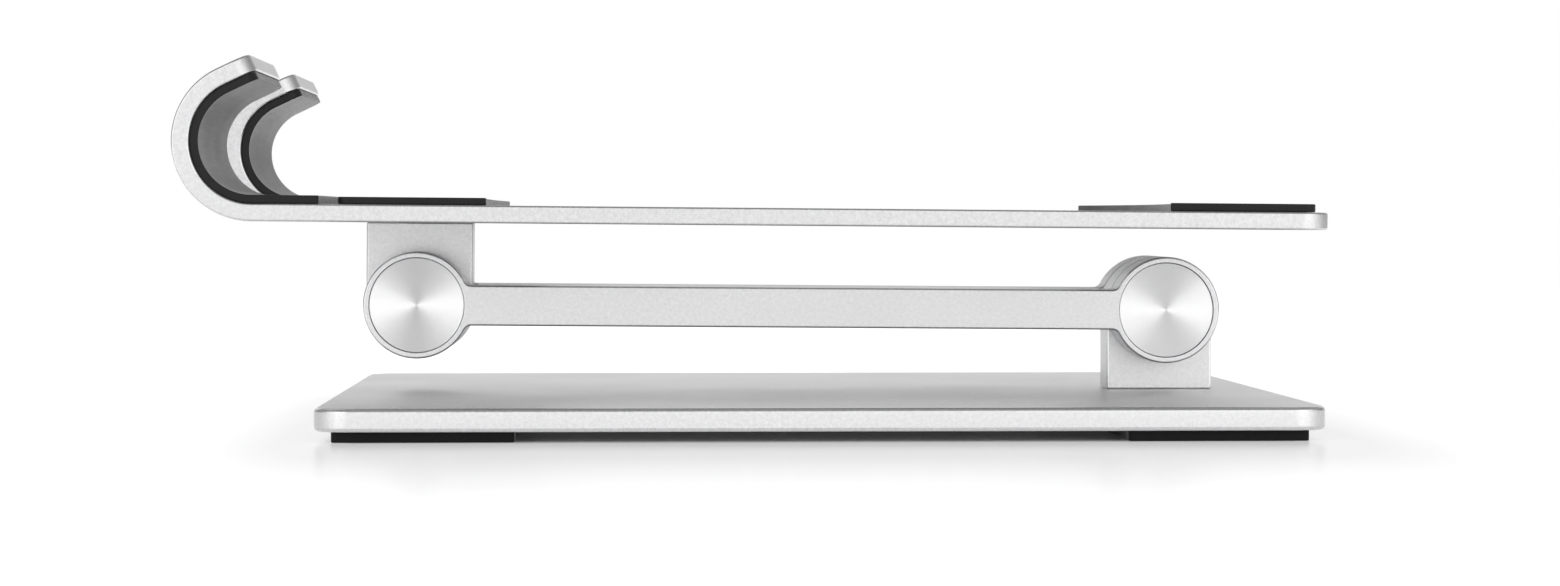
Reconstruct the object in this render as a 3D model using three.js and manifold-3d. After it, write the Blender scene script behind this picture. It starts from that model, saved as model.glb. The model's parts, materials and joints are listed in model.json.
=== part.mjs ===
// Folding laptop stand: a base plate on rubber feet, an extruded dog-bone arm with a forked end at
// each friction hinge, and a bent sheet plate whose two front hooks hold the laptop's front edge.
// Millimetres, +Z up. X runs from the front hooks to the rear, Y is the width. The origin is on
// the desk, under the middle of the folded stand.
import * as THREE from 'three';
import { mergeVertices } from 'three/addons/utils/BufferGeometryUtils.js';
import Module from 'manifold-3d';

const wasm = await Module();
wasm.setup();

// ---- driving dimensions ------------------------------------------------------------------------

const DEGREE = Math.PI / 180;
const TAPE = 0.1; // adhesive film under every glued pad
const BREAK = 0.5; // broken edge of the machined pieces

const FOOT = { length: 41, width: 41, height: 2.5, corner: 1.2, inset: 4 };
const BASE = { front: -99, rear: 129, width: 200, thickness: 5.3, corner: 8, edge: 1 };
const BASE_TOP = FOOT.height + BASE.thickness;

const HINGE = { x: 103.1, z: 27.7 }; // the axis between the base post and the arm
const ARM = { reach: 183, width: 40, bar: 9.8, boss: 13, fillet: 2, tilt: 0.426 * DEGREE };
const KNUCKLE = { thickness: 14, radius: 13 }; // the tongue of the post and of the plate bracket
const SLOT = { width: 15.6, floor: 14 }; // the fork's slot, and its floor's distance from the axis

const CAP = { radius: 11.5, recess: 11.6, thickness: 1.6, sink: 0.4, bevel: 0.3 };
const AXLE = { radius: 4, bore: 4.08, head: 4.4, flats: 13, bevel: 0.3 };
const COUNTERBORE = { radius: 8.2, depth: 6.4 };
const NUT_HEIGHT = 4.2;
const SPRING = { inner: 4.15, outer: 7.9, thickness: 0.6, rise: 0.3, pitch: 0.95 };
const WASHER = { inner: 4.15, outer: 12, thickness: 0.6 };
const CLEAR = 0.1; // running gap between faces that turn on each other

const PLATE = { thickness: 4, width: 184, rear: 210.5, corner: 7, tilt: 0.48 * DEGREE };
const PLATE_UNDERSIDE = 20.15; // above the plate's own hinge axis
const HOOK = { bend: -33.2, radius: 18, end: 116 * DEGREE, tip: 7.8, width: 66, corner: 4.5 };
const NOTCH = { floor: -18.9, corner: 6 }; // the gap between the hooks, cut into the flat
const VENT = { front: 36, rear: 158, halfWidth: 56, bulge: 7, corner: 14 };

const HOOK_PAD = { thickness: 1.9, inset: 1, end: -18.25, short: 0.5 };
const FRONT_PAD = { front: -14.2, rear: 19.2, thickness: 1.6, hollow: 1.5 };
const REAR_PAD = { front: 173.9, rear: 207.3, thickness: 1.8, hollow: 8 };
const PAD_INSET = 2;
const PAD_CORNER = 2.5;

const SCREW = { length: 13, shank: 2.4, head: 4.5, cone: 2.2, socket: 1.5, depth: 1.8, point: 0.6 };
const SCREW_HOLE = { mouth: 4.6, land: 0.25, cone: 2.55, radius: 2.5 };
const SCREW_SINK = 0.1; // how far a screw's head lies under the face around it
const SCREW_PLACES = { front: -7, rear: 7 }; // along X, from the axis of the hinge that they hold

// ---- how the solids are made -------------------------------------------------------------------

const WELD = 1e-4; // points nearer to each other than this are one point
const THROUGH = 5; // how far a cutter runs past the faces that it cuts
const SIDES = { screw: 24, washer: 26, rod: 28, counterbore: 32, cap: 44 };
const ARC_STEPS = { foot: 4, corner: 6, vent: 8, tongue: 11, pad: 12, boss: 13, bend: 13, nut: 14 };

// ---- materials ---------------------------------------------------------------------------------

function finish(colour, roughness, metalness) {
  return () => new THREE.MeshStandardMaterial({ color: colour, roughness, metalness });
}

const anodised = finish(0xd9dadb, 0.42, 0.9);
const spun = finish(0xe9e9ea, 0.25, 1);
const steel = finish(0x9a9c9f, 0.35, 1);
const polymer = finish(0x33343a, 0.6, 0);
const rubber = finish(0x141415, 0.85, 0);
const padFoam = finish(0x1d1d1f, 0.9, 0);

// ---- solids ------------------------------------------------------------------------------------

function toManifold(geometry) {
  const bare = geometry.clone();
  bare.deleteAttribute('normal');
  bare.deleteAttribute('uv');
  const merged = mergeVertices(bare, WELD);
  const mesh = new wasm.Mesh({
    numProp: 3,
    vertProperties: new Float32Array(merged.attributes.position.array),
    triVerts: new Uint32Array(merged.index.array),
  });
  return new wasm.Manifold(mesh);
}

function toGeometry(solid) {
  const mesh = solid.getMesh();
  const geometry = new THREE.BufferGeometry();
  geometry.setAttribute('position', new THREE.BufferAttribute(mesh.vertProperties, 3));
  geometry.setIndex(new THREE.BufferAttribute(mesh.triVerts, 1));
  geometry.computeVertexNormals();
  return geometry;
}

function cut(geometry, ...tools) {
  const solid = tools.reduce((rest, tool) => rest.subtract(toManifold(tool)), toManifold(geometry));
  return toGeometry(solid);
}

function join(geometry, ...others) {
  const solid = others.reduce((sum, other) => sum.add(toManifold(other)), toManifold(geometry));
  return toGeometry(solid);
}

// An outline in the XY plane, raised from z = low to z = high, with its edges broken by `edge`.
function raised(shape, low, high, edge = 0, curveSegments = ARC_STEPS.corner) {
  const geometry = new THREE.ExtrudeGeometry(shape, {
    depth: high - low - 2 * edge,
    curveSegments,
    bevelEnabled: edge > 0,
    bevelThickness: edge,
    bevelSize: edge,
    bevelOffset: -edge,
    bevelSegments: 1,
  });
  return geometry.translate(0, 0, low + edge);
}

// A side-view outline, drawn with x along X and y along Z, made `width` wide about y = middle.
function across(shape, width, middle = 0, edge = 0, curveSegments = ARC_STEPS.corner) {
  const geometry = raised(shape, -width / 2, width / 2, edge, curveSegments);
  return geometry.rotateX(Math.PI / 2).translate(0, middle, 0);
}

// A round bar along Y from y = near to y = far, on the axis at x.
function rodAlongY(radius, near, far, x = 0, sides = SIDES.rod) {
  const geometry = new THREE.CylinderGeometry(radius, radius, far - near, sides);
  return geometry.translate(x, (near + far) / 2, 0);
}

// A solid turned about the geometry's Y axis, from a profile given as (radius, y) points.
function lathed(profile, sides) {
  const points = profile.map(([radius, y]) => new THREE.Vector2(radius, y));
  return new THREE.LatheGeometry(points, sides);
}

function boxBetween(low, high) {
  const size = high.map((value, axis) => value - low[axis]);
  const middle = high.map((value, axis) => (value + low[axis]) / 2);
  return new THREE.BoxGeometry(...size).translate(...middle);
}

function polygon(points) {
  return new THREE.Shape(points.map(([x, y]) => new THREE.Vector2(x, y)));
}

function roundedRectangle(left, bottom, right, top, corner) {
  const shape = new THREE.Shape();
  shape.absarc(right - corner, bottom + corner, corner, -90 * DEGREE, 0, false);
  shape.absarc(right - corner, top - corner, corner, 0, 90 * DEGREE, false);
  shape.absarc(left + corner, top - corner, corner, 90 * DEGREE, 180 * DEGREE, false);
  shape.absarc(left + corner, bottom + corner, corner, 180 * DEGREE, 270 * DEGREE, false);
  shape.closePath();
  return shape;
}

function hexagon(flats) {
  const points = [];
  for (let side = 0; side < 6; side += 1) {
    const angle = (side + 0.5) * 60 * DEGREE;
    const radius = flats / 2 / Math.cos(30 * DEGREE);
    points.push([radius * Math.cos(angle), radius * Math.sin(angle)]);
  }
  return polygon(points);
}

// ---- base --------------------------------------------------------------------------------------

// A countersunk socket screw along Z: its flush head looks down at z = 0 and its shank goes up.
function countersunkScrew() {
  const profile = [
    [0, 0],
    [SCREW.head, 0],
    [SCREW.shank, SCREW.cone],
    [SCREW.shank, SCREW.length - SCREW.point],
    [SCREW.shank - SCREW.point, SCREW.length],
    [0, SCREW.length],
  ];
  const body = lathed(profile, SIDES.screw).rotateX(Math.PI / 2);
  const socket = raised(hexagon(2 * SCREW.socket), -THROUGH, SCREW.depth);
  return cut(body, socket);
}

// The cutter for one countersunk hole up through a sheet, with its wide mouth at z = 0.
function countersink(thickness) {
  const profile = [
    [0, -THROUGH],
    [SCREW_HOLE.mouth, -THROUGH],
    [SCREW_HOLE.mouth, SCREW_HOLE.land],
    [SCREW_HOLE.radius, SCREW_HOLE.cone],
    [SCREW_HOLE.radius, thickness + THROUGH],
    [0, thickness + THROUGH],
  ];
  return lathed(profile, SIDES.screw).rotateX(Math.PI / 2);
}

function basePlate() {
  const half = BASE.width / 2;
  const outline = roundedRectangle(BASE.front, -half, BASE.rear, half, BASE.corner);
  const slab = raised(outline, FOOT.height, BASE_TOP, BASE.edge);
  const holes = Object.values(SCREW_PLACES).map((offset) => {
    return countersink(BASE.thickness).translate(HINGE.x + offset, 0, FOOT.height);
  });
  return cut(slab, ...holes);
}

// Deep enough for the plate's screws, which reach further in than the base's.
const THREAD_DEPTH = SCREW.length - PLATE.thickness + SCREW.point;

// The upright tongue, from its flat foot at z = foot to its round end about the axis at z = 0.
// It is turned over for the plate bracket, where `foot` is the height of the plate's underside.
function tongue(foot) {
  const side = KNUCKLE.radius;
  const shape = new THREE.Shape();
  shape.moveTo(-side, foot);
  shape.lineTo(side, foot);
  shape.absarc(0, 0, side, 0, 180 * DEGREE, false);
  shape.closePath();
  const bore = new THREE.Path();
  bore.absarc(0, 0, AXLE.bore, 0, 360 * DEGREE, true);
  shape.holes.push(bore);
  const block = across(shape, KNUCKLE.thickness, 0, BREAK, ARC_STEPS.tongue);
  const threads = Object.values(SCREW_PLACES).map((offset) => {
    const { radius } = SCREW_HOLE;
    const hole = new THREE.CylinderGeometry(radius, radius, 2 * THREAD_DEPTH, SIDES.screw);
    return hole.rotateX(Math.PI / 2).translate(offset, 0, foot);
  });
  return cut(block, ...threads);
}

function foot() {
  const [length, width] = [FOOT.length / 2, FOOT.width / 2];
  const outline = roundedRectangle(-length, -width, length, width, FOOT.corner);
  return raised(outline, 0, FOOT.height, 0, ARC_STEPS.foot);
}

// ---- arm ---------------------------------------------------------------------------------------

// Drawn about the base hinge: the plate's hinge is at x = -reach. The bar meets each boss in a
// small fillet, whose centre is found from the boss and the bar's edge.
function armOutline() {
  const half = ARM.bar / 2;
  const rise = half + ARM.fillet;
  const run = Math.sqrt((ARM.boss + ARM.fillet) ** 2 - rise ** 2);
  const touch = Math.atan2(rise, run);
  const turn = 90 * DEGREE - touch;
  const shape = new THREE.Shape();
  shape.absarc(0, 0, ARM.boss, touch - 180 * DEGREE, 180 * DEGREE - touch, false);
  shape.absarc(-run, rise, ARM.fillet, -touch, -touch - turn, true);
  shape.absarc(-ARM.reach + run, rise, ARM.fillet, -90 * DEGREE, -90 * DEGREE - turn, true);
  shape.absarc(-ARM.reach, 0, ARM.boss, touch, 360 * DEGREE - touch, false);
  shape.absarc(-ARM.reach + run, -rise, ARM.fillet, 180 * DEGREE - touch, 90 * DEGREE, true);
  shape.absarc(-run, -rise, ARM.fillet, 90 * DEGREE, touch, true);
  shape.closePath();
  return shape;
}

// One fork: the slot for the tongue, and the bore, counterbores and cap recesses of its lugs.
function forkCutters(x, outward) {
  const half = ARM.width / 2;
  const recess = CAP.thickness + CAP.sink;
  const reach = ARM.boss + THROUGH;
  const slotEnds = [x - outward * SLOT.floor, x + outward * reach];
  const slot = boxBetween(
    [Math.min(...slotEnds), -SLOT.width / 2, -reach],
    [Math.max(...slotEnds), SLOT.width / 2, reach],
  );
  const bore = rodAlongY(AXLE.bore, -half, half, x);
  const sides = [-1, 1].flatMap((side) => {
    const [face, floor] = [half + THROUGH, half - recess].map((y) => side * y);
    const seat = side * (half - recess - COUNTERBORE.depth);
    return [
      rodAlongY(CAP.recess, Math.min(face, floor), Math.max(face, floor), x, SIDES.cap),
      rodAlongY(COUNTERBORE.radius, Math.min(face, seat), Math.max(face, seat), x, SIDES.counterbore),
    ];
  });
  return [slot, bore, ...sides];
}

function armBody() {
  const blank = across(armOutline(), ARM.width, 0, BREAK, ARC_STEPS.boss);
  return cut(blank, ...forkCutters(0, 1), ...forkCutters(-ARM.reach, -1));
}

// ---- hinge stack, along Y about the axis ---------------------------------------------------------

const SEAT = ARM.width / 2 - CAP.thickness - CAP.sink - COUNTERBORE.depth; // of the head
const SPRING_SEAT = SEAT + CLEAR;
const NUT_SEAT = SPRING_SEAT + 2 * SPRING.pitch + CLEAR;

function axle() {
  const middle = -(SEAT + CLEAR + AXLE.head / 2);
  const head = across(hexagon(AXLE.flats), AXLE.head, middle, AXLE.bevel);
  const shank = rodAlongY(AXLE.radius, middle, SEAT + COUNTERBORE.depth - 2 * CLEAR);
  return join(head, shank);
}

function nut() {
  const shape = hexagon(AXLE.flats);
  const hole = new THREE.Path();
  hole.absarc(0, 0, AXLE.bore, 0, 360 * DEGREE, true);
  shape.holes.push(hole);
  return across(shape, NUT_HEIGHT, NUT_SEAT + NUT_HEIGHT / 2, AXLE.bevel, ARC_STEPS.nut);
}

// A closed ring about Y from its section, given as (radius, y) points.
function ring(section) {
  return lathed([...section, section[0]], SIDES.washer);
}

// A coned disc spring: `lean` is +1 where its rim is further from the slot than its bore.
function discSpring(near, lean) {
  const innerShift = lean > 0 ? 0 : SPRING.rise;
  const outerShift = SPRING.rise - innerShift;
  return ring([
    [SPRING.inner, near + innerShift],
    [SPRING.outer, near + outerShift],
    [SPRING.outer, near + outerShift + SPRING.thickness],
    [SPRING.inner, near + innerShift + SPRING.thickness],
  ]);
}

function frictionWasher(near) {
  return ring([
    [WASHER.inner, near],
    [WASHER.outer, near],
    [WASHER.outer, near + WASHER.thickness],
    [WASHER.inner, near + WASHER.thickness],
  ]);
}

// A spun end cap with a bevelled rim, its face turned to the side given by `side`.
function cap(side) {
  const back = ARM.width / 2 - CAP.thickness - CAP.sink;
  const face = back + CAP.thickness;
  const profile = [
    [0, back],
    [CAP.radius, back],
    [CAP.radius, face - CAP.bevel],
    [CAP.radius - CAP.bevel, face],
    [0, face],
  ];
  const disc = lathed(profile, SIDES.cap);
  return side > 0 ? disc : disc.rotateZ(Math.PI);
}

// ---- top plate, drawn about its own hinge axis -----------------------------------------------

const PLATE_TOP = PLATE_UNDERSIDE + PLATE.thickness;
const BEND = { x: HOOK.bend, z: PLATE_UNDERSIDE + HOOK.radius }; // the centre of the hook's bend
const TIP_SLOPE = HOOK.end - 90 * DEGREE; // how steeply the straight tip rises

// A point at `radius` from the bend's centre, on the straight tip, `along` past the end of the arc.
function tipPoint(radius, along) {
  return [
    BEND.x + radius * Math.cos(HOOK.end) + along * Math.cos(TIP_SLOPE),
    BEND.z + radius * Math.sin(HOOK.end) + along * Math.sin(TIP_SLOPE),
  ];
}

// A J-shaped strip between two radii about the bend, from x = rear to `tip` past the arc's end.
function hookedStrip(outer, inner, rear, tip) {
  const shape = new THREE.Shape();
  shape.moveTo(rear, BEND.z - outer);
  shape.absarc(BEND.x, BEND.z, outer, 270 * DEGREE, HOOK.end, true);
  shape.lineTo(...tipPoint(outer, tip));
  shape.lineTo(...tipPoint(inner, tip));
  shape.absarc(BEND.x, BEND.z, inner, HOOK.end, 270 * DEGREE, false);
  shape.lineTo(rear, BEND.z - inner);
  shape.closePath();
  return shape;
}

// What is trimmed off the end of a straight tip so that its two corners are round.
function tipTrim(low, high, corner, tip) {
  const block = boxBetween([-corner, low - THROUGH, -THROUGH], [THROUGH, high + THROUGH, THROUGH]);
  const kept = roundedRectangle(-HOOK.radius, low, 0, high, corner);
  const trim = cut(block, raised(kept, -2 * THROUGH, 2 * THROUGH));
  const [x, z] = tipPoint(HOOK.radius - PLATE.thickness / 2, tip);
  return trim.rotateY(-TIP_SLOPE).translate(x, 0, z);
}

// Straight sides, shallow arcs for ends, and corners that meet both smoothly.
function ventOutline() {
  const { front, rear, halfWidth, bulge, corner } = VENT;
  const side = halfWidth - corner;
  const radius = (side ** 2 + bulge ** 2) / (2 * bulge);
  const lean = Math.asin(side / radius);
  const shift = corner * Math.tan(lean);
  const shape = new THREE.Shape();
  shape.absarc(rear + bulge - radius, 0, radius, -lean, lean, false);
  shape.quadraticCurveTo(rear - shift, halfWidth, rear - shift - corner, halfWidth);
  shape.lineTo(front + shift + corner, halfWidth);
  shape.quadraticCurveTo(front + shift, halfWidth, front, side);
  shape.absarc(front - bulge + radius, 0, radius, Math.PI - lean, Math.PI + lean, false);
  shape.quadraticCurveTo(front + shift, -halfWidth, front + shift + corner, -halfWidth);
  shape.lineTo(rear - shift - corner, -halfWidth);
  shape.quadraticCurveTo(rear - shift, -halfWidth, rear, -side);
  shape.closePath();
  return shape;
}

// The two hooks' ranges of y, near and far.
const HOOK_SPANS = [-1, 1].map((side) => {
  const edges = [side * (PLATE.width / 2 - HOOK.width), (side * PLATE.width) / 2];
  return [Math.min(...edges), Math.max(...edges)];
});

function topPlate() {
  const half = PLATE.width / 2;
  const strip = hookedStrip(HOOK.radius, HOOK.radius - PLATE.thickness, PLATE.rear, HOOK.tip);
  const sheet = across(strip, PLATE.width, 0, BREAK, ARC_STEPS.bend);
  const [below, above] = [PLATE_UNDERSIDE - THROUGH, PLATE_TOP + THROUGH];
  const squareEnd = boxBetween(
    [PLATE.rear - PLATE.corner, -half - THROUGH, below],
    [PLATE.rear + THROUGH, half + THROUGH, above],
  );
  const roundEnd = roundedRectangle(0, -half, PLATE.rear, half, PLATE.corner);
  const gap = half - HOOK.width;
  const clearOfHooks = 2 * HOOK.radius;
  const notch = roundedRectangle(BEND.x - clearOfHooks, -gap, NOTCH.floor, gap, NOTCH.corner);
  const screwHoles = Object.values(SCREW_PLACES).map((offset) => {
    return countersink(PLATE.thickness).rotateX(Math.PI).translate(offset, 0, PLATE_TOP);
  });
  return cut(
    sheet,
    cut(squareEnd, raised(roundEnd, below - THROUGH, above + THROUGH)),
    raised(notch, below, BEND.z + clearOfHooks),
    raised(ventOutline(), below, above, 0, ARC_STEPS.vent),
    ...HOOK_SPANS.map(([low, high]) => tipTrim(low, high, HOOK.corner, HOOK.tip)),
    ...screwHoles,
  );
}

function hookPad([low, high]) {
  const outer = HOOK.radius - PLATE.thickness - TAPE;
  const [near, far] = [low + HOOK_PAD.inset, high - HOOK_PAD.inset];
  const tip = HOOK.tip - HOOK_PAD.short;
  const strip = hookedStrip(outer, outer - HOOK_PAD.thickness, HOOK_PAD.end, tip);
  const pad = across(strip, far - near, (near + far) / 2, 0, ARC_STEPS.bend);
  return cut(pad, tipTrim(near, far, HOOK.corner - HOOK_PAD.inset, tip));
}

// A flat pad right across the plate, with one edge drawn in along a shallow curve.
function flatPad({ front, rear, thickness, hollow }, hollowAtRear) {
  const half = PLATE.width / 2 - PAD_INSET;
  const [straight, curved] = hollowAtRear ? [front, rear] : [rear, front];
  const inward = Math.sign(straight - curved);
  const shape = new THREE.Shape();
  shape.moveTo(curved, -half);
  shape.quadraticCurveTo(curved + 2 * inward * hollow, 0, curved, half);
  shape.lineTo(straight - inward * PAD_CORNER, half);
  shape.quadraticCurveTo(straight, half, straight, half - PAD_CORNER);
  shape.lineTo(straight, -half + PAD_CORNER);
  shape.quadraticCurveTo(straight, -half, straight - inward * PAD_CORNER, -half);
  shape.closePath();
  return raised(shape, PLATE_TOP + TAPE, PLATE_TOP + TAPE + thickness, 0, ARC_STEPS.pad);
}

// ---- assembly ------------------------------------------------------------------------------------

function part(name, geometry, material, x = 0, y = 0, z = 0) {
  const mesh = new THREE.Mesh(geometry, material());
  mesh.name = name;
  mesh.position.set(x, y, z);
  return mesh;
}

function baseGroup() {
  const group = new THREE.Group();
  group.add(part('base_plate', basePlate(), anodised));
  group.add(part('base_post', tongue(BASE_TOP - HINGE.z), anodised, HINGE.x, 0, HINGE.z));
  const rows = { front: BASE.front + FOOT.inset, rear: BASE.rear - FOOT.inset - FOOT.length };
  const sides = { near: -1, far: 1 };
  for (const [row, left] of Object.entries(rows)) {
    for (const [side, sign] of Object.entries(sides)) {
      const y = sign * (BASE.width / 2 - FOOT.inset - FOOT.width / 2);
      group.add(part(`foot_${row}_${side}`, foot(), rubber, left + FOOT.length / 2, y));
    }
  }
  for (const [row, offset] of Object.entries(SCREW_PLACES)) {
    const head = FOOT.height + SCREW_SINK;
    group.add(part(`post_screw_${row}`, countersunkScrew(), steel, HINGE.x + offset, 0, head));
  }
  return group;
}

function hingeStack(name, x) {
  const slotSide = SLOT.width / 2 - CLEAR;
  const outerSpring = SPRING_SEAT + SPRING.pitch;
  return [
    part(`${name}_axle`, axle(), steel, x),
    part(`${name}_axle_nut`, nut(), steel, x),
    part(`${name}_disc_spring_inner`, discSpring(SPRING_SEAT, 1), steel, x),
    part(`${name}_disc_spring_outer`, discSpring(outerSpring, -1), steel, x),
    part(`${name}_friction_washer_near`, frictionWasher(-slotSide), polymer, x),
    part(`${name}_friction_washer_far`, frictionWasher(slotSide - WASHER.thickness), polymer, x),
    part(`${name}_cap_near`, cap(-1), spun, x),
    part(`${name}_cap_far`, cap(1), spun, x),
  ];
}

function armGroup() {
  const group = new THREE.Group();
  group.position.set(HINGE.x, 0, HINGE.z);
  group.rotation.y = ARM.tilt;
  group.add(part('arm', armBody(), anodised));
  group.add(...hingeStack('base_hinge', 0));
  group.add(...hingeStack('plate_hinge', -ARM.reach));
  return group;
}

function plateGroup() {
  const group = new THREE.Group();
  const [x, z] = [-ARM.reach * Math.cos(ARM.tilt), ARM.reach * Math.sin(ARM.tilt)];
  group.position.set(HINGE.x + x, 0, HINGE.z + z);
  group.rotation.y = PLATE.tilt;
  group.add(part('top_plate', topPlate(), anodised));
  const bracket = tongue(-PLATE_UNDERSIDE + TAPE).rotateX(Math.PI);
  group.add(part('plate_bracket', bracket, anodised));
  for (const [row, offset] of Object.entries(SCREW_PLACES)) {
    const screw = countersunkScrew().rotateX(Math.PI);
    group.add(part(`plate_screw_${row}`, screw, steel, offset, 0, PLATE_TOP - SCREW_SINK));
  }
  group.add(part('hook_pad_near', hookPad(HOOK_SPANS[0]), padFoam));
  group.add(part('hook_pad_far', hookPad(HOOK_SPANS[1]), padFoam));
  group.add(part('front_pad', flatPad(FRONT_PAD, true), padFoam));
  group.add(part('rear_pad', flatPad(REAR_PAD, false), padFoam));
  return group;
}

const stand = new THREE.Group();
stand.add(baseGroup(), armGroup(), plateGroup());

export default stand;
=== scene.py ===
import json
import math

import bmesh
import bpy
from mathutils import Matrix, Vector


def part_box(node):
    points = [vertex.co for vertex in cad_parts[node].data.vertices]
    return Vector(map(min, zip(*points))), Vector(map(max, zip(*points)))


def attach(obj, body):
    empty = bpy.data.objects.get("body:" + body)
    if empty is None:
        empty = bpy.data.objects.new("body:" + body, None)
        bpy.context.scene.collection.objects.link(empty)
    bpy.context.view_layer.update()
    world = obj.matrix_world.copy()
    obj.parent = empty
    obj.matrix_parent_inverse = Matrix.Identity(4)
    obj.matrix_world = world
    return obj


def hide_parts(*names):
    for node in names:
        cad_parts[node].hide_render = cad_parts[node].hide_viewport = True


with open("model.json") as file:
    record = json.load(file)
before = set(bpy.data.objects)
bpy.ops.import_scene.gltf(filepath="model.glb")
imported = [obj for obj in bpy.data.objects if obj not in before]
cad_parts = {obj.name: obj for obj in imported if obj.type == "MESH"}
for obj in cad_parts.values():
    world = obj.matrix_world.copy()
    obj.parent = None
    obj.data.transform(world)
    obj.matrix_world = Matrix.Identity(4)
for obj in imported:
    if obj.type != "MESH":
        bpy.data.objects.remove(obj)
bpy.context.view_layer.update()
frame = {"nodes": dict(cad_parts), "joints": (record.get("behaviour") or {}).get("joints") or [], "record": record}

MM = 0.001
DEGREE = math.pi / 180

# ---- sizes that the frame doesn't list, as in the CAD source ------------------------------------

EDGE_BREAK = 0.5 * MM  # the broken edge of the machined pieces
FINE_BREAK = 0.12 * MM  # the broken edge of bores and recesses
BASE_EDGE = 1.0 * MM
BASE_CORNER = 8 * MM
FOOT_CORNER = 1.2 * MM
FOOT_EDGE = 0.3 * MM

BOSS_RADIUS = 13 * MM
BAR_HEIGHT = 9.8 * MM
BAR_FILLET = 2 * MM
SLOT_WIDTH = 15.6 * MM
SLOT_FLOOR = 14 * MM
SLOT_CORNER = 0.6 * MM
CAP_RADIUS = 11.5 * MM
CAP_CHAMFER = 0.15 * MM
CAP_RINGS = 6  # into which the cap's face is divided
RECESS_RADIUS = 11.6 * MM
RECESS_DEPTH = 2 * MM
COUNTERBORE_RADIUS = 8.2 * MM
COUNTERBORE_DEPTH = 6.4 * MM
BORE_RADIUS = 4.08 * MM

PLATE_THICKNESS = 4 * MM
PLATE_UNDERSIDE = 20.15 * MM  # above the plate's hinge axis
PLATE_REAR = 210.5 * MM
PLATE_CORNER = 7 * MM
BEND_X = -33.2 * MM
HOOK_RADIUS = 18 * MM
HOOK_END = 116 * DEGREE
HOOK_TIP = 7.8 * MM
HOOK_WIDTH = 66 * MM
HOOK_CORNER = 4.5 * MM
NOTCH_FLOOR = -18.9 * MM
NOTCH_CORNER = 6 * MM
VENT_FRONT = 36 * MM
VENT_REAR = 158 * MM
VENT_HALF = 56 * MM
VENT_BULGE = 7 * MM
VENT_CORNER = 14 * MM

PAD_LIFT = 0.05 * MM  # what shows of the film under a glued pad
PAD_EDGE = 0.25 * MM
PAD_INSET = 2 * MM
PAD_CORNER = 2.5 * MM
HOOK_PAD_THICKNESS = 1.9 * MM
HOOK_PAD_INSET = 1 * MM
HOOK_PAD_END = -18.25 * MM
HOOK_PAD_SHORT = 0.5 * MM
FRONT_PAD = {"straight": -14.2 * MM, "curved": 19.2 * MM, "thickness": 1.65 * MM, "hollow": 1.5 * MM}
REAR_PAD = {"straight": 207.3 * MM, "curved": 173.9 * MM, "thickness": 1.85 * MM, "hollow": 8 * MM}

SCREW_SPREAD = 7 * MM
SCREW_HEAD = 4.5 * MM
SCREW_RIM = (0.15 * MM, 0.12 * MM)  # how far the head's edge is broken, inward and along
SCREW_CONE = 2.2 * MM
SCREW_SHANK = 2.4 * MM
SCREW_POINT = 0.6 * MM
SOCKET_HALF = 1.5 * MM  # half the width across the hexagon's flats
SOCKET_DEPTH = 1.8 * MM
HOLE_MOUTH = 4.6 * MM
HOLE_LAND = 0.25 * MM
HOLE_CONE = 2.55 * MM
HOLE_RADIUS = 2.5 * MM
HOLE_DEPTH = 7 * MM
ABOVE_HOLE = 1 * MM  # how far a hole's cutter stands out past the hole's mouth

SIDES = {
    "bore": 48,
    "counterbore": 64,
    "recess": 128,
    "cap": 128,
    "screw": 64,
    "screw_hole": 48,
    "floor": 96,
}
ARC_STEPS = {
    "base_corner": 16,
    "foot_corner": 6,
    "tongue": 48,
    "boss": 96,
    "bar_fillet": 10,
    "slot_corner": 4,
    "bend": 56,
    "notch_corner": 10,
    "vent_end": 12,
    "vent_corner": 10,
    "trim": 12,
    "pad_hollow": 32,
    "pad_corner": 8,
}

# ---- places, from the frame ---------------------------------------------------------------------

pivots = {joint["name"]: Vector(joint["pos_m"]) for joint in frame["joints"]}
base_pivot = pivots["arm_lift"]
plate_pivot = pivots["plate_tilt"]
arm_reach = (base_pivot - plate_pivot).length
arm_tilt = math.atan2(plate_pivot.z - base_pivot.z, base_pivot.x - plate_pivot.x)
rest_mount = next(m for m in frame["record"]["mounts"] if m["name"] == "laptop_rest_rear")
plate_tilt = math.atan2(rest_mount["axis"][0], rest_mount["axis"][2])

ARM_FRAME = Matrix.Translation(base_pivot) @ Matrix.Rotation(arm_tilt, 4, "Y")
PLATE_FRAME = Matrix.Translation(plate_pivot) @ Matrix.Rotation(plate_tilt, 4, "Y")
SIDE_VIEW = Matrix(((1, 0, 0, 0), (0, 0, -1, 0), (0, 1, 0, 0), (0, 0, 0, 1)))  # drawn y is up
UPSIDE_DOWN = Matrix.Rotation(math.pi, 4, "X")

base_low, base_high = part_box("base_plate")
post_low, post_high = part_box("base_post")
arm_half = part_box("arm")[1].y
plate_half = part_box("top_plate")[1].y
tongue_half = post_high.y
hook_spans = {
    "near": (-plate_half, -plate_half + HOOK_WIDTH),
    "far": (plate_half - HOOK_WIDTH, plate_half),
}

BEND_Z = PLATE_UNDERSIDE + HOOK_RADIUS
PLATE_TOP = PLATE_UNDERSIDE + PLATE_THICKNESS
TIP_SLOPE = HOOK_END - 90 * DEGREE


# ---- outlines, as lists of (x, y) points --------------------------------------------------------

TRIM_SLACK = 2 * MM  # how far a corner's cutter stands out past the corner
SAME_POINT = 1e-7


def arc(centre_x, centre_y, radius, start, end, steps):
    """Points of an arc, both ends included; it runs clockwise where end is less than start."""
    angles = [start + (end - start) * step / steps for step in range(steps + 1)]
    return [
        (centre_x + radius * math.cos(angle), centre_y + radius * math.sin(angle))
        for angle in angles
    ]


def circle(centre_x, centre_y, radius, sides):
    return arc(centre_x, centre_y, radius, 0, 2 * math.pi, sides)[:-1]


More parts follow.
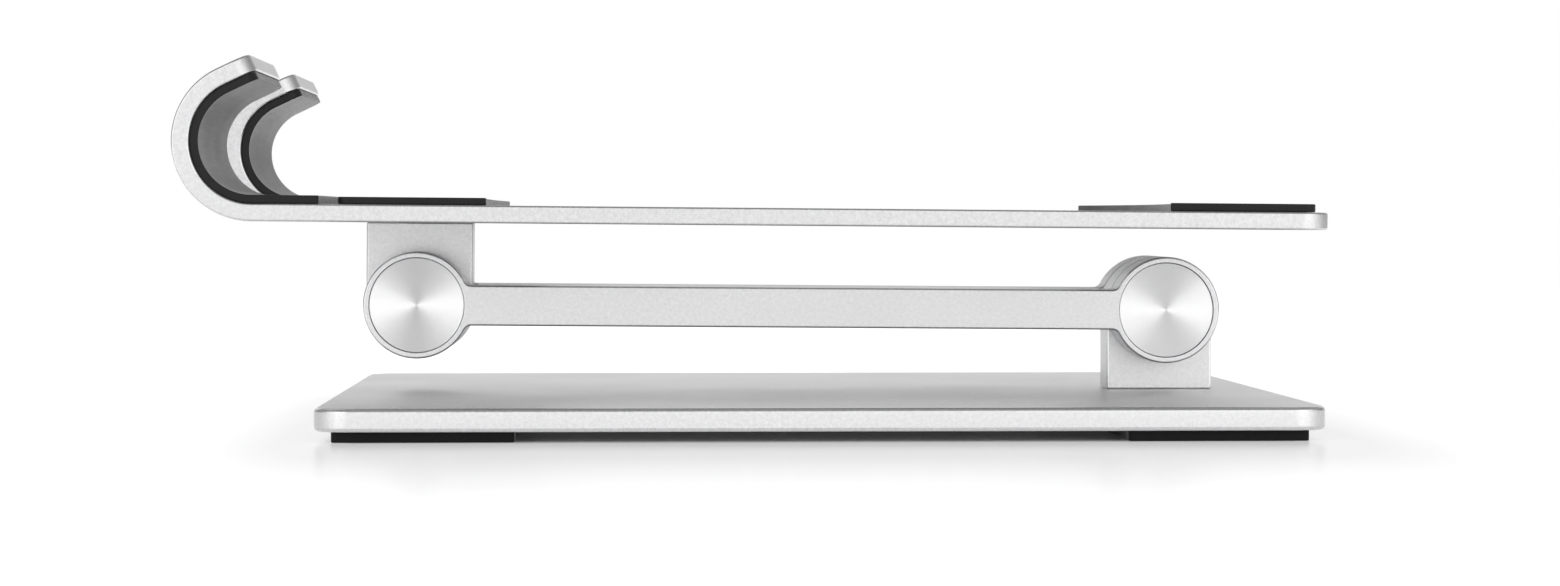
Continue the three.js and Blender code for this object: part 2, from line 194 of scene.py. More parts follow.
def rounded_rectangle(left, bottom, right, top, corner, steps):
    centres = [
        (right - corner, bottom + corner, -90),
        (right - corner, top - corner, 0),
        (left + corner, top - corner, 90),
        (left + corner, bottom + corner, 180),
    ]
    points = []
    for x, y, start in centres:
        points += arc(x, y, corner, start * DEGREE, (start + 90) * DEGREE, steps)
    return points


def curve_between(start, control, end, steps):
    """Inner points of a quadratic curve, both ends left out."""
    points = []
    for step in range(1, steps):
        t = step / steps
        weights = ((1 - t) ** 2, 2 * t * (1 - t), t * t)
        points.append(
            tuple(sum(w * p[k] for w, p in zip(weights, (start, control, end))) for k in (0, 1))
        )
    return points


def corner_trim(x, y, side_x, side_y, corner):
    """What has to be cut away to round the corner at (x, y), whose sides run back from it."""
    centre = (x - side_x * corner, y - side_y * corner)
    points = [
        (centre[0], y + side_y * TRIM_SLACK),
        (x + side_x * TRIM_SLACK, y + side_y * TRIM_SLACK),
        (x + side_x * TRIM_SLACK, centre[1]),
    ]
    for right, up in arc(0, 0, corner, 0, math.pi / 2, ARC_STEPS["trim"]):
        points.append((centre[0] + side_x * right, centre[1] + side_y * up))
    return points


def without_doubles(points):
    """The outline without points that repeat the one before, the last to first included."""
    kept = []
    for point in points:
        if not kept or math.dist(kept[-1], point) > SAME_POINT:
            kept.append(point)
    if math.dist(kept[0], kept[-1]) <= SAME_POINT:
        kept.pop()
    return kept


# ---- mesh tools ---------------------------------------------------------------------------------

MERGE = 0.002 * MM  # corners of a mesh that are closer than this become one
SHARP = 50 * DEGREE  # an edge that turns by more than this keeps its crease
EVEN_SHADING = 100  # the weight that large faces have in the shading
THROUGH = 1  # a cutter this long goes right through anything here


def keep_mesh(made, name):
    """The bmesh as a new object, its faces turned outward."""
    bmesh.ops.recalc_face_normals(made, faces=made.faces)
    mesh = bpy.data.meshes.new(name)
    made.to_mesh(mesh)
    made.free()
    piece = bpy.data.objects.new(name, mesh)
    bpy.context.scene.collection.objects.link(piece)
    return piece


def prism(name, outline, low, high, place=None):
    """A closed solid: the outline raised from z = low to z = high, then moved by `place`."""
    made = bmesh.new()
    bottom = [made.verts.new((x, y, low)) for x, y in outline]
    top = [made.verts.new((x, y, high)) for x, y in outline]
    made.faces.new(bottom)
    made.faces.new(top)
    for index in range(len(outline)):
        following = (index + 1) % len(outline)
        made.faces.new((bottom[index], bottom[following], top[following], top[index]))
    piece = keep_mesh(made, name)
    if place is not None:
        piece.data.transform(place)
    return piece


def lathe(name, profile, place, sides):
    """A solid turned about its own z from (radius, z) points, the first and last on the axis."""
    made = bmesh.new()
    rings = []
    for radius, height in profile:
        if radius == 0:
            rings.append([made.verts.new((0, 0, height))])
            continue
        rings.append([made.verts.new((x, y, height)) for x, y in circle(0, 0, radius, sides)])
    for lower, upper in zip(rings, rings[1:]):
        for side in range(sides):
            following = (side + 1) % sides
            corners = [lower[side % len(lower)], lower[following % len(lower)]]
            corners += [upper[following % len(upper)], upper[side % len(upper)]]
            made.faces.new(list(dict.fromkeys(corners)))
    piece = keep_mesh(made, name)
    piece.data.transform(place)
    return piece


def merge_close_points(mesh):
    made = bmesh.new()
    made.from_mesh(mesh)
    bmesh.ops.remove_doubles(made, verts=made.verts, dist=MERGE)
    bmesh.ops.dissolve_degenerate(made, edges=made.edges, dist=MERGE)
    made.to_mesh(mesh)
    made.free()


def apply_modifiers(piece):
    """The piece keeps the shape that its modifiers give it, without the slivers that they leave."""
    bpy.context.view_layer.update()
    evaluated = piece.evaluated_get(bpy.context.evaluated_depsgraph_get())
    shaped = bpy.data.meshes.new_from_object(evaluated)
    piece.modifiers.clear()
    old = piece.data
    piece.data = shaped
    shaped.name = piece.name
    bpy.data.meshes.remove(old)
    merge_close_points(shaped)


def cut(piece, *tools):
    for tool in tools:
        modifier = piece.modifiers.new("cut", "BOOLEAN")
        modifier.operation = "DIFFERENCE"
        modifier.solver = "EXACT"
        modifier.object = tool
        apply_modifiers(piece)
        bpy.data.objects.remove(tool)
    return piece


def soften(piece, width, segments=3, sharper_than=40):
    """Rounds every edge that turns by more than `sharper_than` degrees."""
    modifier = piece.modifiers.new("soften", "BEVEL")
    modifier.limit_method = "ANGLE"
    modifier.angle_limit = sharper_than * DEGREE
    modifier.width = width
    modifier.segments = segments
    modifier.use_clamp_overlap = True
    modifier.material = 1  # the second slot marks what is rounded
    piece.data.materials.append(None)
    piece.data.materials.append(None)
    apply_modifiers(piece)
    mark_rounded_edges(piece.data)
    return piece


def mark_rounded_edges(mesh):
    """Vertices inside a rounded edge get an attribute of 1, which the material uses to make the edges smoother and
    to darken them with painted shade.
    """
    wear_and_edge_shade = [1.0] * len(mesh.vertices)
    for polygon in mesh.polygons:
        if polygon.material_index == 0:
            for vertex in polygon.vertices:
                wear_and_edge_shade[vertex] = 0.0
    layer = mesh.attributes.get("wear_and_edge_shade") or mesh.attributes.new("wear_and_edge_shade", "FLOAT", "POINT")
    layer.data.foreach_set("value", wear_and_edge_shade)


def finish_piece(piece, body, slot, material, *replaced):
    """Shading, material and place in the frame of a finished piece."""
    mesh = piece.data
    mesh.materials.clear()
    mesh.materials.append(material)
    for polygon in mesh.polygons:
        polygon.material_index = 0
        polygon.use_smooth = True
    mesh.set_sharp_from_angle(angle=SHARP)
    weighted = piece.modifiers.new("even_shading", "WEIGHTED_NORMAL")
    weighted.keep_sharp = True
    weighted.weight = EVEN_SHADING
    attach(piece, body)
    if replaced:
        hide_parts(*replaced)
    return piece


# ---- materials ----------------------------------------------------------------------------------
# A noise's scale is in grains per metre, and a relief is the height of the grain.

NOISE_SPAN = (0.3, 0.7)  # between these lie nearly all of a noise's values

BLASTED_SCALES = {"fine": 2600, "coarse": 1100, "clouds": 28}
BLASTED_SHARES = {"fine": 0.55, "coarse": 0.45, "clouds": 0.3}
BLASTED_CONTRAST = 0.1  # how much lighter and darker than its middle grey the grain is
COOLNESS = 0.005  # how much bluer than grey the metal is
BLASTED_ROUGHNESS = (0.35, 0.43)
CLOUD_ROUGHNESS = 0.02
BLASTED_RELIEF = 0.05 * MM
# the colour that the rounded edges are darkened towards: painted shade
EDGE_SHADE_COLOUR = (0.4, 0.4, 0.405)
WORN_POLISH = 0.22  # how much smoother a worn edge is

SPUN_SCALE = 70  # of the rings, across the cap's radius
SPUN_DARK = (0.84, 0.841, 0.845)
SPUN_LIGHT = (0.92, 0.921, 0.925)
SPUN_ROUGHNESS = (0.36, 0.46)
SPUN_RELIEF = 0.01 * MM
SPUN_BUMP = 0.3
SPUN_ANISOTROPY = 0.88
SPUN_TURN = 0.25  # the highlight lies across the rings

STREAK_SCALE = 1500
STREAK_STRETCH = 0.04  # a streak in the rubber is 25 times as long as it is wide
STREAK_SHARE = 0.5
DUST_SCALE = 90
DUST_SHARE = 0.25
DUST_LIGHTNESS = 1.8  # times that of the light grain
DUST_ROUGHNESS = 0.06
RUBBER_GLOSS_SPAN = 0.14
RUBBER_RELIEF = 0.08 * MM
RUBBER_BUMP = 0.5
RUBBER_SPECULAR = 0.2
RUBBER_SHEEN = (0.5, 0.3)  # weight and roughness

GRAIN_BUMP = 0.4


class Shader:
    """A small helper that adds and joins the nodes of one material."""

    def __init__(self, name):
        self.material = bpy.data.materials.new(name)
        self.material.use_nodes = True
        self.tree = self.material.node_tree
        self.bsdf = self.tree.nodes["Principled BSDF"]
        self.place = self.add("ShaderNodeTexCoord").outputs["Object"]

    def add(self, kind, **settings):
        node = self.tree.nodes.new(kind)
        for key, value in settings.items():
            setattr(node, key, value)
        return node

    def link(self, source, target):
        self.tree.links.new(source, target)

    def noise(self, scale, detail=2.0, roughness=0.5, vector=None):
        node = self.add("ShaderNodeTexNoise")
        node.inputs["Scale"].default_value = scale
        node.inputs["Detail"].default_value = detail
        node.inputs["Roughness"].default_value = roughness
        self.link(vector or self.place, node.inputs["Vector"])
        return node.outputs["Fac"]

    def remap(self, source, low, high, from_low=NOISE_SPAN[0], from_high=NOISE_SPAN[1]):
        node = self.add("ShaderNodeMapRange")
        node.inputs["From Min"].default_value = from_low
        node.inputs["From Max"].default_value = from_high
        node.inputs["To Min"].default_value = low
        node.inputs["To Max"].default_value = high
        self.link(source, node.inputs["Value"])
        return node.outputs["Result"]

    def math(self, operation, first, second):
        node = self.add("ShaderNodeMath", operation=operation)
        for socket, value in zip(node.inputs, (first, second)):
            if isinstance(value, (int, float)):
                socket.default_value = value
            else:
                self.link(value, socket)
        return node.outputs["Value"]

    def vector(self, operation, first, second):
        node = self.add("ShaderNodeVectorMath", operation=operation)
        self.link(first, node.inputs[0])
        node.inputs[1].default_value = second
        return node.outputs["Vector"]

    def length(self, vector):
        node = self.add("ShaderNodeVectorMath", operation="LENGTH")
        self.link(vector, node.inputs[0])
        return node.outputs["Value"]

    def mix_colour(self, factor, first, second):
        node = self.add("ShaderNodeMix", data_type="RGBA")
        self.link(factor, node.inputs["Factor"])
        for socket, value in zip((node.inputs[6], node.inputs[7]), (first, second)):
            if isinstance(value, tuple):
                socket.default_value = (*value, 1)
            else:
                self.link(value, socket)
        return node.outputs[2]

    def attribute(self, name):
        return self.add("ShaderNodeAttribute", attribute_name=name).outputs["Fac"]

    def bump(self, height, distance, strength):
        node = self.add("ShaderNodeBump")
        node.inputs["Strength"].default_value = strength
        node.inputs["Distance"].default_value = distance
        self.link(height, node.inputs["Height"])
        return node.outputs["Normal"]

    def set(self, **values):
        for key, value in values.items():
            socket = self.bsdf.inputs[key.replace("_", " ")]
            if isinstance(value, (int, float)):
                socket.default_value = value
            elif isinstance(value, tuple):
                socket.default_value = (*value, 1)
            else:
                self.link(value, socket)
        return self.material


def anodised_aluminium(name, lightness, edge_shade):
    """Bead-blasted and clear anodised: a fine sparkling grain, faint clouds, and burnished edges that are smoother
    and darkened with painted shade.
    """
    shader = Shader(name)
    fine = shader.noise(BLASTED_SCALES["fine"], roughness=0.6)
    coarse = shader.noise(BLASTED_SCALES["coarse"], detail=1)
    clouds = shader.noise(BLASTED_SCALES["clouds"], detail=3)
    fine_part = shader.math("MULTIPLY", fine, BLASTED_SHARES["fine"])
    coarse_part = shader.math("MULTIPLY", coarse, BLASTED_SHARES["coarse"])
    grain = shader.math("ADD", fine_part, coarse_part)
    levels = (lightness - BLASTED_CONTRAST, lightness, lightness + BLASTED_CONTRAST)
    dark, middle, light = ((grey, grey, grey + COOLNESS) for grey in levels)
    tint = shader.mix_colour(shader.remap(grain, 0, 1), dark, light)
    clouded = shader.mix_colour(shader.remap(clouds, 0, BLASTED_SHARES["clouds"]), tint, middle)
    wear_and_edge_shade = shader.attribute("wear_and_edge_shade")
    # Darkening the rounded edges paints shade on them; the smoother roughness below is the edges' wear.
    colour = shader.mix_colour(shader.math("MULTIPLY", wear_and_edge_shade, edge_shade), clouded, EDGE_SHADE_COLOUR)
    patches = shader.remap(clouds, -CLOUD_ROUGHNESS, CLOUD_ROUGHNESS)
    rough = shader.math("ADD", shader.remap(grain, *BLASTED_ROUGHNESS), patches)
    rough = shader.math("ADD", rough, shader.math("MULTIPLY", wear_and_edge_shade, -WORN_POLISH))
    normal = shader.bump(grain, BLASTED_RELIEF, GRAIN_BUMP)
    return shader.set(Base_Color=colour, Metallic=1.0, Roughness=rough, Normal=normal)


def spun_aluminium():
    """A lathe-spun face: fine rings about the disc's middle, and a highlight that fans out."""
    shader = Shader("spun_aluminium")
    across_box = shader.add("ShaderNodeTexCoord").outputs["Generated"]
    centred = shader.vector("SUBTRACT", across_box, (0.5, 0.5, 0.5))
    radius = shader.length(shader.vector("MULTIPLY", centred, (2, 0, 2)))
    along_radius = shader.add("ShaderNodeCombineXYZ")
    shader.link(radius, along_radius.inputs["X"])
    rings = shader.noise(SPUN_SCALE, detail=3, roughness=0.7, vector=along_radius.outputs[0])
    tint = shader.mix_colour(shader.remap(rings, 0, 1), SPUN_DARK, SPUN_LIGHT)
    rough = shader.remap(rings, *SPUN_ROUGHNESS)
    normal = shader.bump(rings, SPUN_RELIEF, SPUN_BUMP)
    tangent = shader.add("ShaderNodeTangent", direction_type="RADIAL", axis="Y").outputs[0]
    shader.set(Anisotropic=SPUN_ANISOTROPY, Anisotropic_Rotation=SPUN_TURN, Tangent=tangent)
    return shader.set(Base_Color=tint, Metallic=1.0, Roughness=rough, Normal=normal)


def rubber(name, dark, light, smoothest, grain_scale):
    """Soft black rubber: a fine grain, streaks across the width from slicing, faint dusty patches."""
    shader = Shader(name)
    speckle = shader.noise(grain_scale, detail=3, roughness=0.65)
    stretched = shader.vector("MULTIPLY", shader.place, (1, STREAK_STRETCH, 1))
    streaks = shader.noise(STREAK_SCALE, detail=3, roughness=0.6, vector=stretched)
    speckle_part = shader.math("MULTIPLY", speckle, 1 - STREAK_SHARE)
    grain = shader.math("ADD", speckle_part, shader.math("MULTIPLY", streaks, STREAK_SHARE))
    dust = shader.noise(DUST_SCALE, detail=4)
    tint = shader.mix_colour(shader.remap(grain, 0, 1), (dark,) * 3, (light,) * 3)
    colour = shader.mix_colour(shader.remap(dust, 0, DUST_SHARE), tint, (light * DUST_LIGHTNESS,) * 3)
    rough = shader.remap(grain, smoothest, smoothest + RUBBER_GLOSS_SPAN)
    rough = shader.math("ADD", rough, shader.remap(dust, 0, DUST_ROUGHNESS))
    normal = shader.bump(grain, RUBBER_RELIEF, RUBBER_BUMP)
    sheen, sheen_roughness = RUBBER_SHEEN
    shader.set(Specular_IOR_Level=RUBBER_SPECULAR, Sheen_Weight=sheen, Sheen_Roughness=sheen_roughness)
    return shader.set(Base_Color=colour, Roughness=rough, Normal=normal)


def grained(name, scale, detail, colours, roughness, relief, metallic):
    """A plain finish, whose fine grain shows in its colour, its gloss and its surface."""
    shader = Shader(name)
    grain = shader.noise(scale, detail)
    tint = shader.mix_colour(shader.remap(grain, 0, 1), *colours)
    rough = shader.remap(grain, *roughness)
    normal = shader.bump(grain, relief, GRAIN_BUMP)
    return shader.set(Base_Color=tint, Metallic=metallic, Roughness=rough, Normal=normal)


# One anodised aluminium in three lightnesses and edge shades, each set to the tone that its piece shows under this
# light: painted light and shade.
base_aluminium = anodised_aluminium("base_aluminium", lightness=0.80, edge_shade=0.1)
arm_aluminium = anodised_aluminium("arm_aluminium", lightness=0.785, edge_shade=0.6)
plate_aluminium = anodised_aluminium("plate_aluminium", lightness=0.685, edge_shade=0.15)
spun = spun_aluminium()
steel = grained(
    "plated_steel",
    scale=900,
    detail=3,
    colours=((0.46, 0.465, 0.47), (0.62, 0.62, 0.625)),
    roughness=(0.26, 0.42),
    relief=0.02 * MM,
    metallic=1.0,
)
polymer = grained(
    "washer_polymer",
    scale=1500,
    detail=2,
    colours=((0.075, 0.075, 0.085), (0.12, 0.12, 0.13)),
    roughness=(0.45, 0.6),
    relief=0.03 * MM,
    metallic=0.0,
)
foot_rubber = rubber("foot_rubber", dark=0.005, light=0.010, smoothest=0.62, grain_scale=1600)
pad_rubber = rubber("pad_rubber", dark=0.008, light=0.016, smoothest=0.30, grain_scale=2200)


# ---- base ---------------------------------------------------------------------------------------


def screw_holes(place):
    """The cutters of a pair of screw holes, their mouths at the place's z = 0."""
    profile = [
        (0, -ABOVE_HOLE),
        (HOLE_MOUTH, -ABOVE_HOLE),
        (HOLE_MOUTH, HOLE_LAND),
        (HOLE_RADIUS, HOLE_CONE),
        (HOLE_RADIUS, HOLE_DEPTH),
        (0, HOLE_DEPTH),
    ]
    places = [place @ Matrix.Translation((x, 0, 0)) for x in (-SCREW_SPREAD, SCREW_SPREAD)]
    return [lathe("hole", profile, hole_place, SIDES["screw_hole"]) for hole_place in places]


def make_base_plate():
    ends = (base_low.x, base_low.y, base_high.x, base_high.y)
    outline = rounded_rectangle(*ends, BASE_CORNER, ARC_STEPS["base_corner"])
    slab = prism("base_slab", outline, base_low.z, base_high.z)
    soften(slab, BASE_EDGE, segments=5)
    cut(slab, *screw_holes(Matrix.Translation((base_pivot.x, 0, base_low.z))))
    finish_piece(slab, "base", "anodised_aluminium", base_aluminium, "base_plate")


def tongue(name, foot, place):
    """The hinge's middle piece: a flat foot at z = foot and a round end about the axis."""
    side = BOSS_RADIUS
    outline = [(-side, foot), (side, foot)] + arc(0, 0, side, 0, math.pi, ARC_STEPS["tongue"])
    piece = prism(name, outline, -tongue_half, tongue_half, place @ SIDE_VIEW)
    soften(piece, EDGE_BREAK)
    bore = circle(0, 0, BORE_RADIUS, SIDES["bore"])
    return cut(piece, prism("bore", bore, -THROUGH, THROUGH, place @ SIDE_VIEW))


def make_post():
    place = Matrix.Translation(base_pivot)
    post = tongue("hinge_post", post_low.z - base_pivot.z, place)
    finish_piece(post, "base", "anodised_aluminium", base_aluminium, "base_post")


def make_feet():
    for row in ("front", "rear"):
        for side in ("near", "far"):
            node = f"foot_{row}_{side}"
            low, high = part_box(node)
            outline = rounded_rectangle(
                low.x, low.y, high.x, high.y, FOOT_CORNER, ARC_STEPS["foot_corner"]
            )
            pad = prism(f"rubber_{node}", outline, low.z, high.z)
            soften(pad, FOOT_EDGE)
            finish_piece(pad, "base", "foot_rubber", foot_rubber, node)


def make_post_screws():
    for row in ("front", "rear"):
        node = f"post_screw_{row}"
        low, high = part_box(node)
        length = high.z - low.z
        profile = [
            (0, 0),
            (SCREW_HEAD - SCREW_RIM[0], 0),
            (SCREW_HEAD, SCREW_RIM[1]),
            (SCREW_SHANK, SCREW_CONE),
            (SCREW_SHANK, length - SCREW_POINT),
            (SCREW_SHANK - SCREW_POINT, length),
            (0, length),
        ]
        place = Matrix.Translation(((low.x + high.x) / 2, (low.y + high.y) / 2, low.z))
        screw = lathe(f"countersunk_{row}", profile, place, SIDES["screw"])
        hexagon = circle(0, 0, SOCKET_HALF / math.cos(30 * DEGREE), 6)
        cut(screw, prism("socket", hexagon, -ABOVE_HOLE, SOCKET_DEPTH, place))
        finish_piece(screw, "base", "fastener_steel", steel, node)


# ---- arm ----------------------------------------------------------------------------------------


def arm_outline():
    """The dog bone: two bosses, the bar between them, and a small fillet at each meeting."""
    half = BAR_HEIGHT / 2
    rise = half + BAR_FILLET
    run = math.sqrt((BOSS_RADIUS + BAR_FILLET) ** 2 - rise**2)
    touch = math.atan2(rise, run)
    down = -90 * DEGREE
    boss, fillet = ARC_STEPS["boss"], ARC_STEPS["bar_fillet"]
    points = arc(0, 0, BOSS_RADIUS, touch - math.pi, math.pi - touch, boss)
    points += arc(-run, rise, BAR_FILLET, -touch, down, fillet)
    points += arc(-arm_reach + run, rise, BAR_FILLET, down, touch - math.pi, fillet)
    points += arc(-arm_reach, 0, BOSS_RADIUS, touch, 2 * math.pi - touch, boss)
    points += arc(-arm_reach + run, -rise, BAR_FILLET, math.pi - touch, math.pi / 2, fillet)
    points += arc(-run, -rise, BAR_FILLET, math.pi / 2, touch, fillet)
    return without_doubles(points)


def fork_slot(x, outward):
    """The cutter of the slot in a boss, which opens towards `outward`."""
    left, right = sorted((x - outward * SLOT_FLOOR, x + outward * 2 * BOSS_RADIUS))
    half = SLOT_WIDTH / 2
    outline = rounded_rectangle(left, -half, right, half, SLOT_CORNER, ARC_STEPS["slot_corner"])
    return prism("slot", outline, -2 * BOSS_RADIUS, 2 * BOSS_RADIUS, ARM_FRAME)


def round_hole(x, radius, low, high, sides):
    """A cutter along Y between two y values, on the hinge axis at x in the arm's frame."""
    return prism("hole", circle(x, 0, radius, sides), -high, -low, ARM_FRAME @ SIDE_VIEW)


def make_arm():
    bone = prism("dog_bone_arm", arm_outline(), -arm_half, arm_half, ARM_FRAME @ SIDE_VIEW)
    cut(bone, fork_slot(0, 1), fork_slot(-arm_reach, -1))
    soften(bone, EDGE_BREAK)
    floor = arm_half - RECESS_DEPTH
    seat = floor - COUNTERBORE_DEPTH
    for x in (0, -arm_reach):
        for side in (-1, 1):
            recess = sorted((side * floor, side * 2 * arm_half))
            bore = sorted((side * seat, side * 2 * arm_half))
            cut(bone, round_hole(x, RECESS_RADIUS, *recess, SIDES["recess"]))
            cut(bone, round_hole(x, COUNTERBORE_RADIUS, *bore, SIDES["counterbore"]))
        cut(bone, round_hole(x, BORE_RADIUS, -arm_half, arm_half, SIDES["bore"]))
    soften(bone, FINE_BREAK, segments=2, sharper_than=50)
    finish_piece(bone, "arm", "anodised_aluminium", arm_aluminium, "arm")


def cap_profile(depth):
    """Half of a cap's section, from the middle of its back to the middle of its face."""
    face = CAP_RADIUS - CAP_CHAMFER
    profile = [(0, 0), (CAP_RADIUS - CAP_CHAMFER / 2, 0), (CAP_RADIUS, CAP_CHAMFER / 2)]
    profile += [
        (CAP_RADIUS, depth - CAP_CHAMFER),
        (CAP_RADIUS - CAP_CHAMFER / 3, depth - CAP_CHAMFER / 3),
    ]
    profile += [(face * step / CAP_RINGS, depth) for step in range(CAP_RINGS, 0, -1)]
    return profile + [(0, depth)]


def make_caps():
    for hinge in ("base_hinge", "plate_hinge"):
        for side, sign in (("near", -1), ("far", 1)):
            node = f"{hinge}_cap_{side}"
            low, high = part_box(node)
            middle = (low + high) / 2
            back = low.y if sign > 0 else high.y
            turn = Matrix.Rotation(-sign * 90 * DEGREE, 4, "X")
            place = Matrix.Translation((middle.x, back, middle.z)) @ turn
            disc = lathe(f"spun_{node}", cap_profile(high.y - low.y), place, SIDES["cap"])
            finish_piece(disc, "arm", "spun_aluminium", spun, node)


# ---- top plate and its pads ---------------------------------------------------------------------

CLEAR = 5 * MM  # how far a cutter stands out above and below the sheet
NOTCH_REACH = 60 * MM  # how far the notch's cutter stands out in front of the bend and above the sheet
TIP_REACH = 8 * MM


def tip_point(radius, along):
    """A point of the hook's straight tip, `along` past the end of its arc."""
    x = BEND_X + radius * math.cos(HOOK_END) + along * math.cos(TIP_SLOPE)
    z = BEND_Z + radius * math.sin(HOOK_END) + along * math.sin(TIP_SLOPE)
    return x, z


def hooked_outline(outer, inner, rear, tip):
    """A J-shaped strip between two radii about the bend, from x = rear to the end of the tip."""
    steps = ARC_STEPS["bend"]
    points = [(rear, BEND_Z - outer)]
    points += arc(BEND_X, BEND_Z, outer, 270 * DEGREE, HOOK_END, steps)
    points += [tip_point(outer, tip), tip_point(inner, tip)]
    points += arc(BEND_X, BEND_Z, inner, HOOK_END, 270 * DEGREE, steps)
    points += [(rear, BEND_Z - inner)]
    return without_doubles(points)


def tip_trims(low, high, corner, tip):
    """The cutters that round the two corners of a straight tip."""
    x, z = tip_point(HOOK_RADIUS - PLATE_THICKNESS / 2, tip)
    place = PLATE_FRAME @ Matrix.Translation((x, 0, z)) @ Matrix.Rotation(-TIP_SLOPE, 4, "Y")
    outlines = [corner_trim(0, low, 1, -1, corner), corner_trim(0, high, 1, 1, corner)]
    return [prism("trim", outline, -TIP_REACH, TIP_REACH, place) for outline in outlines]


def vent_outline():
    """Straight sides, shallow arcs for ends, and corners that meet both smoothly."""
    side = VENT_HALF - VENT_CORNER
    radius = (side**2 + VENT_BULGE**2) / (2 * VENT_BULGE)
    lean = math.asin(side / radius)
    shift = VENT_CORNER * math.tan(lean)
    rear_end = (VENT_REAR - shift - VENT_CORNER, VENT_HALF)
    front_end = (VENT_FRONT + shift + VENT_CORNER, VENT_HALF)
    end_steps, corner_steps = ARC_STEPS["vent_end"], ARC_STEPS["vent_corner"]
    upper = arc(VENT_REAR + VENT_BULGE - radius, 0, radius, 0, lean, end_steps)
    upper += curve_between((VENT_REAR, side), (VENT_REAR - shift, VENT_HALF), rear_end, corner_steps)
    upper += [rear_end, front_end]
    upper += curve_between(front_end, (VENT_FRONT + shift, VENT_HALF), (VENT_FRONT, side), corner_steps)
    upper += arc(VENT_FRONT - VENT_BULGE + radius, 0, radius, math.pi - lean, math.pi, end_steps)
    lower = [(x, -y) for x, y in reversed(upper[1:-1])]
    return upper + lower


def through_sheet(name, outline):
    """A cutter that goes through the plate's flat sheet."""
    return prism(name, outline, PLATE_UNDERSIDE - CLEAR, PLATE_TOP + CLEAR, PLATE_FRAME)


def make_top_plate():
    strip = hooked_outline(HOOK_RADIUS, HOOK_RADIUS - PLATE_THICKNESS, PLATE_REAR, HOOK_TIP)
    sheet = prism("bent_plate", strip, -plate_half, plate_half, PLATE_FRAME @ SIDE_VIEW)
    gap = plate_half - HOOK_WIDTH
    front = BEND_X - NOTCH_REACH
    notch = rounded_rectangle(front, -gap, NOTCH_FLOOR, gap, NOTCH_CORNER, ARC_STEPS["notch_corner"])
    cut(
        sheet,
        prism("notch", notch, PLATE_UNDERSIDE - CLEAR, PLATE_UNDERSIDE + NOTCH_REACH, PLATE_FRAME),
    )
    cut(sheet, through_sheet("vent", vent_outline()))
    for side in (-1, 1):
        rear_corner = corner_trim(PLATE_REAR, side * plate_half, 1, side, PLATE_CORNER)
        cut(sheet, through_sheet("rear", rear_corner))
    for low, high in hook_spans.values():
        cut(sheet, *tip_trims(low, high, HOOK_CORNER, HOOK_TIP))
    soften(sheet, EDGE_BREAK)
    cut(sheet, *screw_holes(PLATE_FRAME @ Matrix.Translation((0, 0, PLATE_TOP)) @ UPSIDE_DOWN))
    finish_piece(sheet, "plate", "anodised_aluminium", plate_aluminium, "top_plate")


def make_bracket():
    bracket = tongue("hinge_bracket", -PLATE_UNDERSIDE, PLATE_FRAME @ UPSIDE_DOWN)
    finish_piece(bracket, "plate", "anodised_aluminium", arm_aluminium, "plate_bracket")


def finish_pad(pad, node):
    soften(pad, PAD_EDGE)
    finish_piece(pad, "plate", "pad_rubber", pad_rubber, node)


def make_hook_pads():
    outer = HOOK_RADIUS - PLATE_THICKNESS - PAD_LIFT
    tip = HOOK_TIP - HOOK_PAD_SHORT
    strip = hooked_outline(outer, outer - HOOK_PAD_THICKNESS, HOOK_PAD_END, tip)
    for side, (low, high) in hook_spans.items():
        near, far = low + HOOK_PAD_INSET, high - HOOK_PAD_INSET
        pad = prism(f"hook_lining_{side}", strip, -far, -near, PLATE_FRAME @ SIDE_VIEW)
        cut(pad, *tip_trims(near, far, HOOK_CORNER - HOOK_PAD_INSET, tip))
        finish_pad(pad, f"hook_pad_{side}")


def pad_outline(straight, curved, hollow):
    """A pad right across the plate, with one edge drawn in along a shallow arc."""
    half = plate_half - PAD_INSET
    inward = math.copysign(1, straight - curved)
    radius = (half**2 + hollow**2) / (2 * hollow)
    lean = math.asin(half / radius)
    facing = 0 if inward > 0 else math.pi
    centre = curved + inward * (hollow - radius)
    points = arc(centre, 0, radius, facing - lean, facing + lean, ARC_STEPS["pad_hollow"])
    if inward < 0:
        points.reverse()
    side_x = straight - inward * PAD_CORNER
    steps = ARC_STEPS["pad_corner"]
    rounded = arc(side_x, half - PAD_CORNER, PAD_CORNER, 90 * DEGREE, 0, steps)
    rounded += arc(side_x, -half + PAD_CORNER, PAD_CORNER, 0, -90 * DEGREE, steps)
    points += [(side_x + inward * (x - side_x), y) for x, y in rounded]
    return without_doubles(points)


def make_flat_pad(name, node, straight, curved, thickness, hollow):
    low = PLATE_TOP + PAD_LIFT
    pad = prism(name, pad_outline(straight, curved, hollow), low, low + thickness, PLATE_FRAME)
    finish_pad(pad, node)


# ---- the frame's own pieces that stay in view ---------------------------------------------------


def dress_cad_nodes():
    """What the hinges hold inside, and the screws under the front pad, stay and get a material."""
    for name, node in frame["nodes"].items():
        if node.hide_render:
            continue
        node.data.materials.clear()
        node.data.materials.append(polymer if "friction_washer" in name else steel)


# ---- stage, light and camera --------------------------------------------------------------------

FLOOR_RADIUS = 3
FLOOR_CLOUD_SCALE = 3
FLOOR_FADE = (0.5, 2.2)  # distances from the stand between which the floor fades into the white
FLOOR_DARK = (0.88, 0.88, 0.885)
FLOOR_LIGHT = (0.90, 0.90, 0.905)
FLOOR_ROUGHNESS = 0.24
FLOOR_SPECULAR = 0.2
